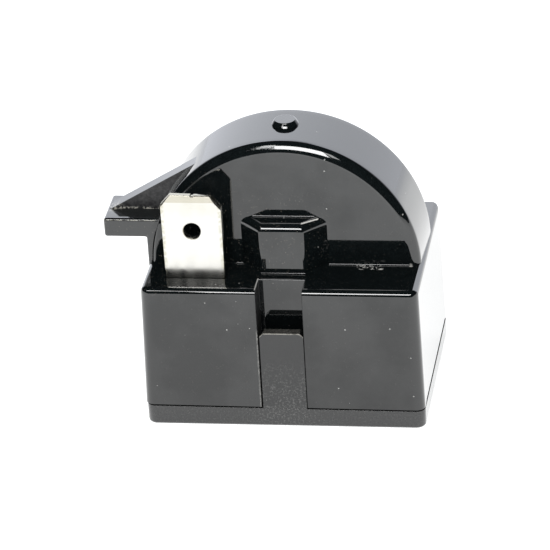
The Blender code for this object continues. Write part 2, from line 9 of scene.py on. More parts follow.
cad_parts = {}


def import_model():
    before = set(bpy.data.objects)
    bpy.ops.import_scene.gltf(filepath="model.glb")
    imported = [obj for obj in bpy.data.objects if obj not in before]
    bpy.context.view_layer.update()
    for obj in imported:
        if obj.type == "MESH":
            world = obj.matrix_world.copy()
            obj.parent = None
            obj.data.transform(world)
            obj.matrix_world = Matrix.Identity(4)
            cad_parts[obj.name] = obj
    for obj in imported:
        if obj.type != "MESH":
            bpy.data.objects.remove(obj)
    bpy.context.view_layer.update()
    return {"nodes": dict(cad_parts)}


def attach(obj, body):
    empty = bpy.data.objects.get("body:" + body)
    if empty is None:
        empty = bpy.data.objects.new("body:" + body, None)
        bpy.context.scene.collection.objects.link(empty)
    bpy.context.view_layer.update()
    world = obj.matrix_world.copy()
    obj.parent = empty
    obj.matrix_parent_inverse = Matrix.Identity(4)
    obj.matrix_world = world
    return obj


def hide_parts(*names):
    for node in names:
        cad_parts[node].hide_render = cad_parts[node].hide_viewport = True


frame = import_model()
NODES = frame["nodes"]
MM = 0.001

# Sizes in millimetres, as the solids have them.
BASE_T = 1.93
GAP = 0.2
WALL = 1.5
LEAN = math.tan(math.radians(1.1))
LEDGE_Z = 15.655
LEDGE_HALF_W = 14.315
LEDGE_HALF_D = 10.605
CEILING_Z = LEDGE_Z - WALL
DOME_R = 14.165
DOME_Z = 15.305
DOME_FRONT = -4.455
DOME_BACK = 4.215
DOME_Y = (DOME_FRONT + DOME_BACK) / 2
DOME_TAPER = 0.2
POCKET_R = DOME_R - WALL
POCKET_HALF_D = (DOME_BACK - DOME_FRONT) / 2 - WALL
PILL_R = POCKET_R - 2.16
RIB_HALF_T = 0.6
CHANNEL_HALF = 2.39
CHANNEL_BACK = LEDGE_HALF_D - 2.62
CATCH_Z = 4
CATCH_H = 2
CATCH_OUT = 0.8
BARB_H = 1.6
BARB_TIP_H = 0.53
TONGUE_HALF = CHANNEL_HALF - 0.1
TONGUE_T = 1.2
TONGUE_TOP = 10.73
TONGUE_CUT = 0.4
LIP_T = 0.7
LIP_H = 1.1
LUG_FRONT_HALF = 2.275
LUG_FOOT_HALF = 4.47
LUG_OUT = 2.26
LUG_TOP = LEDGE_Z + 5.45
TAB_X = -8.95
TAB_FRONT = -7.965
TAB_T = 0.8
TAB_HALF = 3.15
TAB_ROOT_HALF = 3.07
TAB_TIP_HALF = 2.15
TAB_TOP_Z = LEDGE_Z + 9.35
TAB_HOLE_Z = LEDGE_Z + 5.4
TAB_HOLE_R = 0.9
STRIP_Z = BASE_T + GAP
STRIP_HALF = 2.4
STRIP_BEND_R = 0.6
BEND_Y = TAB_FRONT + TAB_T + STRIP_BEND_R
RIVET_Y = -4.695
RIVET_PAD = 1.49
RIVET_HOLE_R = 0.6
PIN_PAD = 2.35
PIN_X = 6.54
PIN_Y = 4.965
PIN_HOLE_R = 1.8
ARM_TIP = -LEDGE_HALF_W - 4.62
ARM_UNDER = LEDGE_Z + 2.76
ARM_TOP = ARM_UNDER + 2.1

# Sizes that follow the photograph more closely than the solids do.
FOOT_Z = BASE_T + 0.1
FOOT_LIFT = 0.06
LEFT_EXTRA = 0.09
BASE_CORNER_R = 1.05
FILLET_R = 0.16
TONGUE_ASIDE = 0.05
ARM_FRONT = DOME_FRONT + 0.15
ARM_BACK = ARM_FRONT + 5.8
WEB_FRONT = ARM_FRONT + 2.45
WEB_T = 1.85
WEB_DEGREES = 29.9


def half_w(z):
    return LEDGE_HALF_W + (LEDGE_Z - z) * LEAN


def half_d(z):
    return LEDGE_HALF_D + (LEDGE_Z - z) * LEAN


def seam_rise(x):
    """How much higher than the solids' seam the photograph's seam lies."""
    return 0.16 - 0.0062 * x


# ---- mesh helpers, in millimetres ----
def add_object(name, bm):
    bmesh.ops.recalc_face_normals(bm, faces=bm.faces)
    bmesh.ops.scale(bm, vec=(MM, MM, MM), verts=bm.verts)
    mesh = bpy.data.meshes.new(name)
    bm.to_mesh(mesh)
    bm.free()
    obj = bpy.data.objects.new(name, mesh)
    bpy.context.scene.collection.objects.link(obj)
    return obj


def loft(name, rings):
    bm = bmesh.new()
    loops = [[bm.verts.new(point) for point in ring] for ring in rings]
    count = len(loops[0])
    for low, high in zip(loops, loops[1:]):
        for i in range(count):
            j = (i + 1) % count
            bm.faces.new((low[i], low[j], high[j], high[i]))
    bm.faces.new(loops[0])
    bm.faces.new(loops[-1])
    return add_object(name, bm)


def prism_x(name, outline, x0, x1):
    return loft(name, [[(x, y, z) for y, z in outline] for x in (x0, x1)])


def prism_y(name, outline, y0, y1):
    return loft(name, [[(x, y, z) for x, z in outline] for y in (y0, y1)])


def prism_z(name, outline, z0, z1):
    return loft(name, [[(x, y, z) for x, y in outline] for z in (z0, z1)])


def rectangle(x0, x1, y0, y1):
    return [(x0, y0), (x1, y0), (x1, y1), (x0, y1)]


def arc(center, radius, start, end, steps):
    points = []
    for i in range(steps + 1):
        angle = math.radians(start + (end - start) * i / steps)
        points.append((center[0] + radius * math.cos(angle), center[1] + radius * math.sin(angle)))
    return points


def circle(center, radius, steps=64):
    return arc(center, radius, 0, 360 - 360 / steps, steps - 1)


def bevel_by(obj, width, segments, weight_of):
    bm = bmesh.new()
    bm.from_mesh(obj.data)
    layer = bm.edges.layers.float.new("bevel_weight_edge")
    bm.normal_update()
    for edge in bm.edges:
        ends = [vert.co / MM for vert in edge.verts]
        edge[layer] = weight_of(ends, [face.normal for face in edge.link_faces])
    bm.to_mesh(obj.data)
    bm.free()
    bevel = obj.modifiers.new("rounding", "BEVEL")
    bevel.limit_method = "WEIGHT"
    bevel.width = width * MM
    bevel.segments = segments


def bevel_sharp(obj, width, segments=3, degrees=30):
    bevel = obj.modifiers.new("edges", "BEVEL")
    bevel.limit_method = "ANGLE"
    bevel.angle_limit = math.radians(degrees)
    bevel.width = width * MM
    bevel.segments = segments


def boolean(obj, other, operation):
    step = obj.modifiers.new(other.name, "BOOLEAN")
    step.operation = operation
    step.solver = "EXACT"
    step.object = other
    other.hide_render = True
    other.hide_viewport = True


def join(obj, *others):
    for other in others:
        boolean(obj, other, "UNION")


def carve(obj, *others):
    for other in others:
        boolean(obj, other, "DIFFERENCE")


def applied(obj):
    """The object with its modifiers applied, and the helpers they used removed."""
    helpers = []

    def collect(one):
        for modifier in one.modifiers:
            if modifier.type == "BOOLEAN" and modifier.object not in helpers:
                helpers.append(modifier.object)
                collect(modifier.object)

    collect(obj)
    for helper in helpers:
        helper.hide_viewport = False
    bpy.context.view_layer.update()
    graph = bpy.context.evaluated_depsgraph_get()
    mesh = bpy.data.meshes.new_from_object(obj.evaluated_get(graph))
    obj.modifiers.clear()
    obj.data = mesh
    for helper in helpers:
        bpy.data.objects.remove(helper, do_unlink=True)
    return obj


def finish_piece(obj, look, replaces=(), sharp=32):
    obj.data.materials.clear()
    obj.data.materials.append(look)
    obj.data.shade_smooth()
    obj.data.set_sharp_from_angle(angle=math.radians(sharp))
    weighted = obj.modifiers.new("weighted", "WEIGHTED_NORMAL")
    weighted.keep_sharp = True
    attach(obj, "root")
    if replaces:
        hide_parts(*replaces)
    return obj


# ---- materials ----
class Tree:
    """A small wrapper for building a node tree."""

    def __init__(self, tree):
        self.tree = tree

    def add(self, kind, inputs=None, **settings):
        node = self.tree.nodes.new(kind)
        for key, value in settings.items():
            setattr(node, key, value)
        for key, value in (inputs or {}).items():
            self.feed(node.inputs[key], value)
        return node

    def feed(self, socket, value):
        if isinstance(value, bpy.types.NodeSocket):
            self.tree.links.new(value, socket)
        else:
            socket.default_value = value

    def ramp(self, value, low, high, low_to=0.0, high_to=1.0, **settings):
        limits = {"From Min": low, "From Max": high, "To Min": low_to, "To Max": high_to}
        return self.add("ShaderNodeMapRange", {"Value": value, **limits}, **settings).outputs["Result"]

    def math(self, operation, a, b=0.0):
        return self.add("ShaderNodeMath", {0: a, 1: b}, operation=operation).outputs["Value"]

    def combine(self, operation, values):
        result = values[0]
        for value in values[1:]:
            result = self.math(operation, result, value)
        return result

    def blend(self, factor, a, b):
        """A mix of two numbers."""
        return self.add("ShaderNodeMix", {0: factor, 2: a, 3: b}).outputs[0]

    def mix(self, factor, a, b):
        """A mix of two colours."""
        return self.add("ShaderNodeMix", {0: factor, 6: a, 7: b}, data_type="RGBA").outputs[2]


class Nodes(Tree):
    """A material, with patterns placed in the piece's own coordinates, in metres."""

    def __init__(self, name):
        self.material = bpy.data.materials.new(name)
        self.material.use_nodes = True
        super().__init__(self.material.node_tree)
        self.shader = self.tree.nodes["Principled BSDF"]
        self.position = self.add("ShaderNodeTexCoord").outputs["Object"]

    def set(self, **values):
        for key, value in values.items():
            self.feed(self.shader.inputs[key.replace("_", " ")], value)

    def axes(self):
        """The piece's own x, y and z."""
        split = self.add("ShaderNodeSeparateXYZ", {"Vector": self.position})
        return split.outputs["X"], split.outputs["Y"], split.outputs["Z"]

    def noise(self, scale, detail=2.0, roughness=0.5, stretch=None):
        vector = self.position
        if stretch is not None:
            vector = self.add("ShaderNodeMapping", {"Vector": vector, "Scale": stretch}).outputs["Vector"]
        inputs = {"Vector": vector, "Scale": scale, "Detail": detail, "Roughness": roughness}
        return self.add("ShaderNodeTexNoise", inputs).outputs["Fac"]

    def specks(self, scale, size, share):
        """Small round spots at random places: 1 inside a spot, 0 elsewhere."""
        inputs = {"Vector": self.position, "Scale": scale, "Randomness": 1.0}
        node = self.add("ShaderNodeTexVoronoi", inputs, feature="F1")
        spot = self.math("LESS_THAN", node.outputs["Distance"], size)
        tint = self.add("ShaderNodeSeparateColor", {"Color": node.outputs["Color"]})
        return self.math("MULTIPLY", spot, self.math("LESS_THAN", tint.outputs["Red"], share))

    def below(self, value, low, high):
        """1 up to low, falling to 0 at high."""
        return self.ramp(value, low, high, 1.0, 0.0)

    def span(self, value, low, high, soft=0.00004):
        """1 where the value lies between low and high."""
        above = self.ramp(value, low - soft, low + soft)
        return self.all_of(above, self.below(value, high - soft, high + soft))

    def distance(self, point):
        node = self.add("ShaderNodeVectorMath", {0: self.position, 1: point}, operation="DISTANCE")
        return node.outputs["Value"]

    def spot(self, point, inner, outer, strength):
        """One round spot that fades out from inner to outer."""
        return self.ramp(self.distance(point), inner, outer, strength, 0.0)

    def all_of(self, *masks):
        return self.combine("MULTIPLY", masks)

    def any_of(self, *masks):
        return self.combine("MAXIMUM", masks)

    def bump(self, height, strength, distance, normal=None):
        node = self.add("ShaderNodeBump", {"Height": height, "Strength": strength, "Distance": distance})
        if normal is not None:
            self.feed(node.inputs["Normal"], normal)
        return node.outputs["Normal"]


def gloss_black():
    n = Nodes("gloss_black_moulding")
    x, y, z = n.axes()
    off = n.math("ABSOLUTE", x)
    arm_top = ARM_TOP * MM
    motes = n.specks(900.0, 0.075, 0.22)
    dust = n.specks(4200.0, 0.2, 0.1)
    haze = n.noise(260.0, 3.0)
    ripple = n.noise(420.0, 2.0)
    mottle = n.noise(1100.0, 5.0, 0.75)
    grain = n.noise(3400.0, 3.0, 0.6)
    ragged = n.ramp(grain, 0.5, 0.56)

    # Crumbs lie round the tab, the lug and the foot of the dome's face.
    crumbs = n.all_of(
        n.specks(5200.0, 0.24, 0.2),
        n.span(z, 0.0150, 0.0235, 0.0015),
        n.span(y, -0.012, -0.0042),
        n.ramp(x, 0.002, 0.005, 1.0, 0.15),
    )

    # The side arm and its web lie outside the dome. The web's face is coarse, and worn at its foot and tip.
    height = n.math("SUBTRACT", z, DOME_Z * MM)
    squares = n.math("ADD", n.math("MULTIPLY", x, x), n.math("MULTIPLY", height, height))
    outside = n.ramp(n.math("SQRT", squares), 0.01419, 0.01425)
    beside = n.all_of(outside, n.ramp(z, 0.0182, 0.0183))
    face = n.all_of(beside, n.ramp(z, arm_top, arm_top + 0.00005), n.below(y, -0.00184, -0.00178))
    foot = n.all_of(face, n.below(z, arm_top + 0.00012, arm_top + 0.0003), ragged)
    tip = n.all_of(beside, n.spot((-0.0184, -0.0015, 0.0206), 0.0004, 0.0014, 0.8), ragged)
    edge = n.all_of(beside, n.ramp(z, 0.0201, 0.0202), n.below(y, -0.0040, -0.0039))
    # A broken pale line along the arm's front top edge is a painted highlight.
    painted_edge_highlight = n.all_of(
        beside,
        n.span(z, 0.02032, 0.02041, 0.00002),
        n.below(y, -0.00405, -0.004),
        n.ramp(n.noise(1900.0, 3.0, 0.6), 0.45, 0.55, 0.0, 0.65),
    )
    slant = n.math("ADD", x, n.math("MULTIPLY", y, 0.694))
    trough = n.all_of(
        outside,
        n.span(z, 0.02035, 0.02055),
        n.span(y, -0.00372, -0.0018),
        n.ramp(slant, -0.02, -0.0198),
    )

    # Pale marks lie at the foot of the dome's face, and a pale line runs down the channel's mouth. The pale
    # lines along an edge of the lug and of the ledge are painted highlights.
    smear = n.all_of(
        n.span(z, 0.0155, 0.01585),
        n.span(x, 0.0074, 0.0102, 0.0001),
        n.span(y, -0.0055, -0.0046, 0.0001),
        n.ramp(n.noise(2400.0, 4.0, 0.7), 0.53, 0.56),
    )
    blob = n.spot((0.0130, -0.0046, 0.01572), 0.00008, 0.00026, 0.7)
    across = n.math("SUBTRACT", n.math("MULTIPLY", x, 0.646), n.math("MULTIPLY", y, 0.763))
    painted_lug_highlight = n.all_of(
        n.span(across, 0.00586, 0.00601, 0.00003),
        n.span(x, 0.00205, 0.00365),
        n.ramp(z, 0.0207, 0.0209),
    )
    painted_ledge_highlight = n.all_of(
        n.span(x, -0.00251, -0.00239),
        n.ramp(z, 0.01553, 0.0156),
        n.below(y, -0.0079, -0.0078),
    )
    mouth = n.all_of(
        n.span(x, -0.00253, -0.0024),
        n.below(y, -0.0105, -0.01045),
        n.below(z, 0.0108, 0.0112),
        n.ramp(grain, 0.4, 0.6, 0.2, 0.6),
    )
    faint = n.any_of(n.math("MULTIPLY", mouth, 0.5), n.math("MULTIPLY", painted_ledge_highlight, 0.6))
    pale = n.any_of(smear, blob, painted_lug_highlight, faint)

    # The dome's rim is scuffed, the channel's walls are dull and the front faces are a little cloudy.
    scuff = n.all_of(
        n.span(x, -0.0046, -0.0009, 0.0003),
        n.ramp(z, 0.0274, 0.0276),
        n.below(y, -0.0036, -0.0035),
    )
    wall = n.all_of(n.span(off, 0.00236, 0.00243), n.below(y, -0.0081, -0.008))
    front = n.all_of(n.below(y, -0.0043, -0.0041), n.below(off, 0.0132, 0.0140))
    cloud = n.all_of(front, n.ramp(n.noise(150.0, 4.0, 0.6), 0.42, 0.62))

    # Painted sheen: the housing's colour mottles between near black and a faint blue-green sheen, weaker
    # towards the bottom.
    painted_sheen_mottle = n.math("MULTIPLY", mottle, n.ramp(z, 0.010, 0.018, 0.3, 1.0))
    skin = n.mix(painted_sheen_mottle, (0.0012, 0.0016, 0.0018, 1), (0.0075, 0.0105, 0.0112, 1))
    skin = n.mix(dust, skin, (0.035, 0.033, 0.03, 1))
    skin = n.mix(crumbs, skin, (0.10, 0.09, 0.075, 1))
    coarse = n.mix(n.ramp(grain, 0.3, 0.7), (0.006, 0.006, 0.007, 1), (0.042, 0.042, 0.043, 1))
    skin = n.mix(face, skin, coarse)
    # Pale wear at the web's foot and tip, and the painted highlight along the arm's front edge.
    skin = n.mix(n.any_of(foot, tip, painted_edge_highlight), skin, (0.36, 0.35, 0.31, 1))
    # Pale marks, with painted highlights on the lug's and the ledge's edges.
    skin = n.mix(pale, skin, (0.62, 0.61, 0.58, 1))
    skin = n.mix(motes, skin, (0.28, 0.28, 0.27, 1))
    dull = n.any_of(face, trough, wall)
    rough = n.any_of(n.math("MULTIPLY", dull, 0.36), n.math("MULTIPLY", n.any_of(wall, trough), 0.85))
    grainy = n.any_of(dull, scuff, edge, n.math("MULTIPLY", beside, 0.25))
    n.set(
        Base_Color=skin,
        Roughness=n.math("ADD", n.ramp(haze, 0.3, 0.75, 0.035, 0.08), rough),
        IOR=1.45,
        Coat_Weight=n.all_of(n.below(dull, 0.0, 1.0), n.ramp(cloud, 0.0, 1.0, 1.0, 0.68)),
        Coat_Roughness=0.03,
        Coat_IOR=1.45,
        Normal=n.bump(n.all_of(grain, grainy), 0.3, 0.00005, n.bump(ripple, 0.05, 0.00006)),
    )
    return n.material


def matte_black():
    n = Nodes("matte_black_moulding")
    x, y, z = n.axes()
    grain = n.noise(4600.0, 3.0, 0.6)
    # Scuffed most towards the middle of the foot.
    scuffed = n.all_of(
        n.ramp(n.math("ABSOLUTE", x), 0.0012, 0.0048, 1.0, 0.3),
        n.ramp(z, 0.0015, 0.008, 1.0, 0.06),
        n.ramp(grain, 0.52, 0.68),
    )
    skin = n.mix(n.below(z, 0.0021, 0.0025), (0.0055, 0.006, 0.0065, 1), (0.017, 0.0175, 0.018, 1))
    skin = n.mix(scuffed, skin, (0.115, 0.115, 0.112, 1))
    # The front tongue's top is dusty and its front edge worn pale.
    dusty = n.all_of(n.ramp(z, 0.01068, 0.01072), n.ramp(grain, 0.35, 0.65, 0.3, 1.0))
    skin = n.mix(dusty, skin, (0.065, 0.063, 0.057, 1))
    aside = n.math("ABSOLUTE", n.math("SUBTRACT", x, TONGUE_ASIDE * MM))
    rim = n.any_of(n.ramp(z, 0.01066, 0.01069), n.ramp(n.math("ADD", aside, z), 0.01255, 0.01259))
    worn = n.all_of(
        n.below(y, -0.0106, -0.01055),
        rim,
        n.ramp(z, 0.0095, 0.0100),
        n.ramp(n.noise(2100.0, 3.0), 0.35, 0.5, 0.35, 1.0),
    )
    n.set(
        Base_Color=n.mix(worn, skin, (0.34, 0.33, 0.30, 1)),
        Roughness=n.ramp(n.noise(300.0, 3.0), 0.3, 0.7, 0.12, 0.2),
        IOR=1.45,
        Coat_Weight=0.7,
        Coat_Roughness=0.1,
        Coat_IOR=1.45,
        Normal=n.bump(grain, 0.1, 0.00003),
    )
    return n.material


def tinned():
    n = Nodes("tinned_brass")
    x, _, z = n.axes()
    drawn = n.noise(900.0, 4.0, stretch=(1.0, 1.0, 0.06))
    fine = n.noise(2600.0, 3.0, 0.6)
    off = n.math("ABSOLUTE", n.math("SUBTRACT", x, TAB_X * MM))
    # Painted shade darkens the tin towards the ledge. The tin is also darker in stains, along the sides, on
    # the shoulders and on the tip's bevel.
    low = n.ramp(z, LEDGE_Z * MM, (LEDGE_Z + 3.4) * MM, 0.3, 0.0)
    stain = n.ramp(n.noise(420.0, 4.0, 0.6), 0.5, 0.8, 0.0, 0.3)
    sides = n.all_of(n.ramp(off, 0.0027, 0.003), n.ramp(fine, 0.35, 0.6, 0.0, 1.3))
    shoulders = n.ramp(z, (TAB_TOP_Z - 2.6) * MM, (TAB_TOP_Z - 1.4) * MM, 0.0, 0.3)
    tip = n.ramp(z, (TAB_TOP_Z - 0.78) * MM, (TAB_TOP_Z - 0.7) * MM)
    darkening = n.combine("ADD", (low, stain, sides, n.any_of(n.math("MULTIPLY", tip, 0.9), shoulders)))
    metal = n.mix(n.math("MINIMUM", darkening, 1.0), (0.645, 0.637, 0.612, 1), (0.50, 0.485, 0.41, 1))
    metal = n.mix(n.math("MULTIPLY", tip, 0.5), metal, (0.42, 0.395, 0.335, 1))
    # A burr lies round the hole, darkest at its lower left.
    around = n.distance((TAB_X * MM, TAB_FRONT * MM, TAB_HOLE_Z * MM))
    fading = n.ramp(n.math("ADD", x, z), 0.0119, 0.0123, 1.0, 0.2)
    metal = n.mix(n.all_of(n.span(around, 0.0009, 0.00099, 0.00002), fading), metal, (0.36, 0.34, 0.28, 1))
    n.set(
        Base_Color=n.mix(n.specks(1500.0, 0.07, 0.16), metal, (0.30, 0.29, 0.26, 1)),
        Metallic=1.0,
        Roughness=n.ramp(drawn, 0.3, 0.7, 0.17, 0.27),
        Normal=n.bump(drawn, 0.06, 0.00003),
    )
    return n.material


def drawn_metal(name, scale, stretch, pale, dark, smooth, rough, relief):
    n = Nodes(name)
    drawn = n.noise(scale, 4.0, stretch=stretch)
    n.set(
        Base_Color=n.mix(drawn, pale, dark),
        Metallic=1.0,
        Roughness=n.ramp(drawn, 0.3, 0.7, smooth, rough),
        Normal=n.bump(drawn, 0.08, relief),
    )
    return n.material


def brass():
    pale, dark = (0.78, 0.58, 0.27, 1), (0.66, 0.48, 0.22, 1)
    return drawn_metal("brass_strip", 800.0, (0.08, 1.0, 1.0), pale, dark, 0.22, 0.36, 0.00003)


def spring_steel():
    pale, dark = (0.62, 0.62, 0.63, 1), (0.52, 0.52, 0.53, 1)
    return drawn_metal("spring_steel", 900.0, (1.0, 1.0, 0.08), pale, dark, 0.2, 0.32, 0.00002)


def pill_ceramic():
    n = Nodes("pill_ceramic")
    grain = n.noise(2600.0, 4.0)
    n.set(
        Base_Color=n.mix(grain, (0.60, 0.59, 0.56, 1), (0.50, 0.49, 0.47, 1)),
        Roughness=n.ramp(grain, 0.3, 0.7, 0.45, 0.65),
        Normal=n.bump(grain, 0.15, 0.00004),
    )
    return n.material


GLOSS = gloss_black()
MATTE = matte_black()
TIN = tinned()
BRASS = brass()
STEEL = spring_steel()
CERAMIC = pill_ceramic()


# ---- housing ----
def box_foot(x):
    """Height of the box's foot, which follows the seam."""
    return FOOT_Z + (seam_rise(x) + FOOT_LIFT)


def box_outline(z):
    w, d = half_w(z), half_d(z)
    return rectangle(-w - LEFT_EXTRA, w, -d, d)


def box_body():
    foot = [(x, y, box_foot(x)) for x, y in box_outline(FOOT_Z)]
    ledge = [(x, y, LEDGE_Z) for x, y in box_outline(LEDGE_Z)]
    obj = loft("housing_shell", [foot, ledge])
    corner, side, front, back = 0.95, 0.6, 0.65, 0.18
    halfway = LEDGE_Z / 2

    def weight_of(ends, normals):
        low, high = sorted(point.z for point in ends)
        if low < halfway < high:
            return 1.0
        if high < halfway:
            return 0.0
        if any(normal.y < -0.5 for normal in normals):
            return front / corner
        return (back if any(normal.y > 0.5 for normal in normals) else side) / corner

    bevel_by(obj, corner, 8, weight_of)
    return obj


def dome_outline(radius, foot_z, steps=220):
    return [(radius, foot_z), *arc((0, DOME_Z), radius, 0, 180, steps), (-radius, foot_z)]


def rim_profile():
    """Depth behind the face and height of the dome's rounded rim, which is flattest near its middle."""
    depth = height = 0.0
    points = [(depth, height)]
    for start, end, radius, steps in ((0, 31.5, 1.05, 8), (31.5, 39, 2.9, 4), (39, 90, 0.7, 10)):
        turn = math.radians(end - start) / steps
        for i in range(steps):
            angle = math.radians(start) + turn * (i + 0.5)
            depth += radius * turn * math.sin(angle)
            height += radius * turn * math.cos(angle)
            points.append((depth, height))
    return points


def crisp(x, z):
    """How far the front rim's rounding fades out beside the arm."""
    if x > 0:
        return 0.0
    degrees = 180.0 if z < DOME_Z else math.degrees(math.atan2(z - DOME_Z, x))
    return 0.72 * min(max((degrees - 152) / 8, 0), 1)


def dome():
    profile = rim_profile()
    top = profile[-1][1]
    places = [(DOME_FRONT + depth, top - height) for depth, height in profile]
    # The rear rim is rounded less than the front one.
    profile = [(depth * 0.74, height * 0.74) for depth, height in profile]
    front, back = places[-1][0], DOME_BACK - profile[-1][0]
    places += [(front + (back - front) * i / 12, 0) for i in range(1, 12)]
    places += [(DOME_BACK - depth, profile[-1][1] - height) for depth, height in reversed(profile)]
    rings = []
    for y, drop in places:
        radius = DOME_R - DOME_TAPER * (DOME_BACK - y) / (DOME_BACK - DOME_FRONT)
        full = dome_outline(radius, CEILING_Z)
        ring = []
        for (x, z), (full_x, full_z) in zip(dome_outline(radius - drop, CEILING_Z), full):
            keep = crisp(x, z) if y <= front else 0
            depth = (y - DOME_FRONT) * (1 - keep)
            ring.append((x + (full_x - x) * keep, DOME_FRONT + depth, z + (full_z - z) * keep))
        rings.append(ring)
    return loft("dome", rings)


def face_fillet(name, z, reach):
    """The small fillet where the dome's face meets a level surface at height z."""
    sunk = 0.2
    profile = [(DOME_FRONT + sunk, z - sunk), (DOME_FRONT - FILLET_R, z - sunk)]
    profile += arc((DOME_FRONT - FILLET_R, z + FILLET_R), FILLET_R, -90, 0, 5)
    profile += [(DOME_FRONT + sunk, z + FILLET_R)]
    return prism_x(name, profile, -reach, reach)


def lug_half(y, inset=0.0):
    slope = (LUG_FOOT_HALF - LUG_FRONT_HALF) / LUG_OUT
    return LUG_FRONT_HALF + (y - DOME_FRONT + LUG_OUT) * slope - inset * math.hypot(1, slope)


def lug_outline(out=0.0):
    """The lug seen from above, or that outline grown by out."""
    front, back = DOME_FRONT - LUG_OUT - out, DOME_FRONT + WALL / 2
    return [(side * lug_half(y, -out), y) for side, y in ((-1, front), (1, front), (1, back), (-1, back))]


def lug_foot_fillet():
    """The small fillet round the lug's foot."""
    rings = [[(x, y, LEDGE_Z - 0.2) for x, y in lug_outline(FILLET_R)]]
    for turn in (0, 20, 40, 60, 80, 90):
        out = FILLET_R * (1 - math.sin(math.radians(turn)))
        z = LEDGE_Z + FILLET_R * (1 - math.cos(math.radians(turn)))
        rings.append([(x, y, z) for x, y in lug_outline(out)])
    return loft("lug_foot_fillet", rings)


def lug():
    obj = prism_z("lug", lug_outline(), CEILING_Z, LUG_TOP)

    def weight_of(ends, normals):
        on_top = min(point.z for point in ends) > LUG_TOP - 1
        in_front = (ends[0].y + ends[1].y) / 2 < DOME_FRONT - LUG_OUT / 4
        return 1.0 if on_top and in_front else 0.0

    bevel_by(obj, 0.82, 8, weight_of)
    bevel_sharp(obj, 0.18, 4)
    return obj


def nub():
    """The flat round boss on the dome's top."""
    top, center = DOME_Z + DOME_R, (0, DOME_Y + 0.46)
    height, ease, foot, tip = 0.45, 0.1, 1.4, 1.15
    profile = [(foot, top - 0.7), (foot, top), (tip + 0.03, top + height - ease)]
    for turn in (15, 30, 45, 60, 75, 90):
        angle = math.radians(turn)
        profile.append((tip - ease * (1 - math.cos(angle)), top + height - ease * (1 - math.sin(angle))))
    return loft("nub", [[(x, y, z) for x, y in circle(center, radius)] for radius, z in profile])


def arm():
    leg = -LEDGE_HALF_W - 0.2
    inside = -POCKET_R + 0.75
    outline = [
        (ARM_TIP, ARM_UNDER),
        (leg, ARM_UNDER),
        (leg, CEILING_Z),
        (inside, CEILING_Z),
        (inside, ARM_TOP),
        (ARM_TIP, ARM_TOP),
    ]
    obj = prism_y("arm", outline, ARM_FRONT, ARM_BACK)
    bevel_sharp(obj, 0.3, 4)
    # The dome's rounded rim stands free in front of the arm.
    relief = dome_outline(DOME_R - 0.1, CEILING_Z - 1, 90)
    carve(obj, prism_y("arm_relief", relief, ARM_FRONT - 1, DOME_FRONT + 0.6))
    return obj


def web():
    """The wall that slopes from the arm's tip up to the dome."""
    tip = ARM_TIP + 0.45
    run, rise = math.cos(math.radians(WEB_DEGREES)), math.sin(math.radians(WEB_DEGREES))
    length = -tip * run - (ARM_TOP - DOME_Z) * rise
    end = tip + length * run, ARM_TOP + length * rise
    sunk = ARM_TOP - 0.9
    outline = [(tip, ARM_TOP), (tip, sunk), (end[0], sunk), end]
    return prism_y("web", outline, WEB_FRONT, WEB_FRONT + WEB_T)


def channel(side):
    """The slot for a tongue, its mouth eased by a small round."""
    rings = []
    for z in (FOOT_Z - 1, LEDGE_Z + 1):
        face = half_d(z)
        edges = []
        for ease in (0.04, 0.12):
            edge = [(CHANNEL_HALF, CHANNEL_BACK), (CHANNEL_HALF, face - ease)]
            for a in (0.5, 1.0, 1.4):
                edge.append((CHANNEL_HALF + ease * (1 - math.cos(a)), face - ease + ease * math.sin(a)))
            edges.append([*edge, (CHANNEL_HALF + ease * 1.6, face + 1)])
        outline = edges[0] + [(-x, y) for x, y in reversed(edges[1])]
        rings.append([(x, side * y, z) for x, y in outline])
    return loft(f"channel_{side}", rings)


def channel_top(side):
    """Eases the slot's upper edges. The last ring stands clear above the ledge."""
    ease, last = 0.17, 100
    rings = []
    for turn in (-5, 15, 30, 45, 60, 75, 90, last):
        angle = math.radians(turn)
        out = ease * (1 - math.cos(angle))
        z = LEDGE_Z + 0.5 if turn == last else LEDGE_Z - ease * (1 - math.sin(angle))
        w = CHANNEL_HALF + out
        outline = rectangle(-w, w, CHANNEL_BACK - out, half_d(0) + 1)
        rings.append([(x, side * y, z) for x, y in outline])
    return loft(f"channel_top_{side}", rings)


def catch(side):
    """The ledge in a channel's back wall that holds the cover's barb."""
    wall, out, top = CHANNEL_BACK - WALL / 2, CHANNEL_BACK + CATCH_OUT, CATCH_Z + CATCH_H
    outline = [(wall, CATCH_Z), (CHANNEL_BACK, CATCH_Z), (out, CATCH_Z + CATCH_OUT), (out, top), (wall, top)]
    half = CHANNEL_HALF + WALL / 2
    return prism_x(f"catch_{side}", [(side * y, z) for y, z in outline], -half, half)


def tab_slot():
    half = TAB_ROOT_HALF + GAP / 2
    outline = rectangle(TAB_X - half, TAB_X + half, TAB_FRONT - GAP / 2, TAB_FRONT + TAB_T + GAP / 2)
    return prism_z("tab_slot", outline, CEILING_Z - 1, LEDGE_Z + 1)


